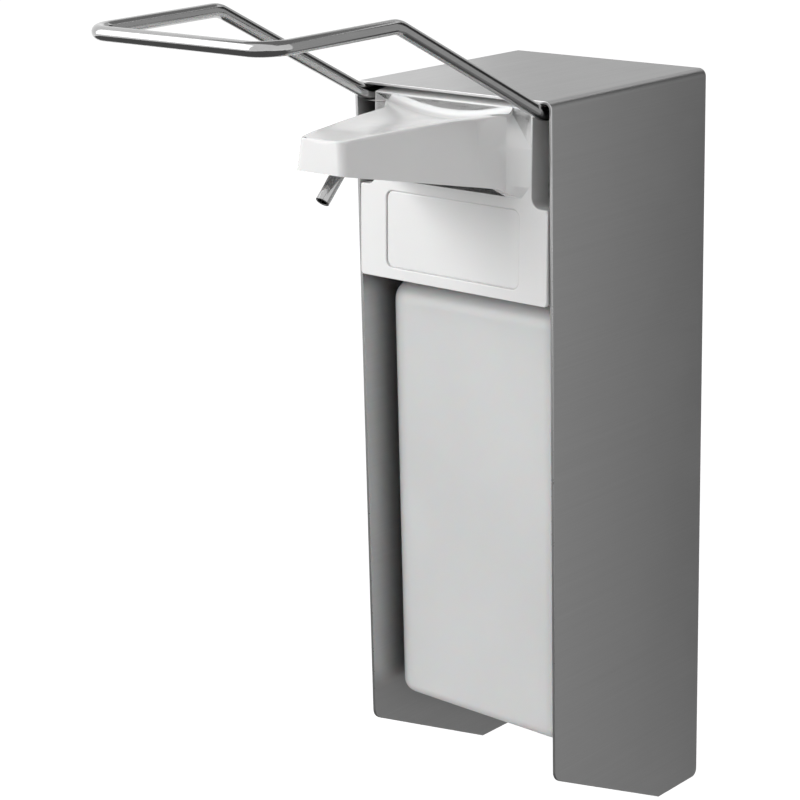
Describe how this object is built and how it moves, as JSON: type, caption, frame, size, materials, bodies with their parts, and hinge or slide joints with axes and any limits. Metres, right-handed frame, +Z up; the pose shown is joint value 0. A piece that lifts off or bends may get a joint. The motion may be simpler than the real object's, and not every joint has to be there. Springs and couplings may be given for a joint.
{
  "type": "elbow-lever soap dispenser",
  "caption": "Wall-hung soap dispenser with a folded steel housing, wire elbow lever, pump with outlet tube, bottle and beaked front cover.",
  "frame": {"origin": "centre of the four wall slots' rectangle, on the wall plane (the housing's back face)", "axes": "+Y into the wall, so the front faces -Y; +Z up; +X to the right seen from the front"},
  "size_m": [0.092, 0.2243, 0.3219],
  "materials": {
    "brushed_sheet": "stainless sheet with a fine grain",
    "bracket_steel": "plain stainless sheet",
    "polished_wire": "polished stainless wire",
    "turned_steel": "turned stainless steel",
    "cover_plastic": "glossy white moulding",
    "bottle_plastic": "natural translucent polyethylene",
    "cradle_plastic": "pale grey moulding",
    "head_plastic": "white acetal",
    "bush_plastic": "natural nylon",
    "pump_plastic": "natural polypropylene",
    "black_rubber": "dull black rubber",
    "seal_rubber": "dark grey seal rubber",
    "screw_steel": "blackened steel"
  },
  "bodies": {
    "housing": {"housing_shell": "brushed_sheet", "back_plate": "bracket_steel", "bottle_shelf": "bracket_steel", "pump_bracket": "bracket_steel", "pivot_bracket": "bracket_steel", "bracket_rivets": "turned_steel", "pivot_bush_left": "bush_plastic", "pivot_bush_right": "bush_plastic", "lever_stops": "black_rubber"},
    "lever": {"lever_wire": "polished_wire", "arm_socket_left": "turned_steel", "arm_socket_right": "turned_steel", "socket_screws": "screw_steel", "rocker": "bracket_steel", "press_pad": "bush_plastic", "pivot_shaft": "turned_steel", "shaft_clips": "turned_steel"},
    "refill": {"bottle": "bottle_plastic", "neck_seal": "seal_rubber", "pump_cradle": "cradle_plastic", "pump_cylinder": "pump_plastic", "guide_collar": "head_plastic", "foot_valve": "pump_plastic", "inlet_ball": "turned_steel", "return_spring": "turned_steel", "suction_tube": "pump_plastic"},
    "plunger": {"pump_head": "head_plastic", "outlet_tube": "polished_wire", "tube_nut": "turned_steel", "piston_rod": "turned_steel", "piston": "pump_plastic", "piston_ring": "seal_rubber", "outlet_ball": "turned_steel"},
    "cover": {"front_cover": "cover_plastic"}
  },
  "joints": [
    {"name": "lever_press", "type": "hinge", "parent": "housing", "child": "lever", "pos_m": [0, -0.01197, 0.142], "axis": [1, 0, 0], "range_deg": [0, 20]},
    {"name": "refill_pull", "type": "slide", "parent": "housing", "child": "refill", "axis": [0, -1, 0], "range_m": [0, 0.1]},
    {"name": "plunger_stroke", "type": "slide", "parent": "refill", "child": "plunger", "axis": [0, 0, -1], "range_m": [0, 0.012], "stiffness_N_per_m": 600, "springref_m": -0.018, "deforming": ["return_spring"]},
    {"name": "cover_pull", "type": "slide", "parent": "refill", "child": "cover", "axis": [0, -1, 0], "range_m": [0, 0.012]}
  ],
  "couplings": [
    {"joint": "plunger_stroke", "follows": "lever_press", "m_per_rad": 0.034377}
  ]
}
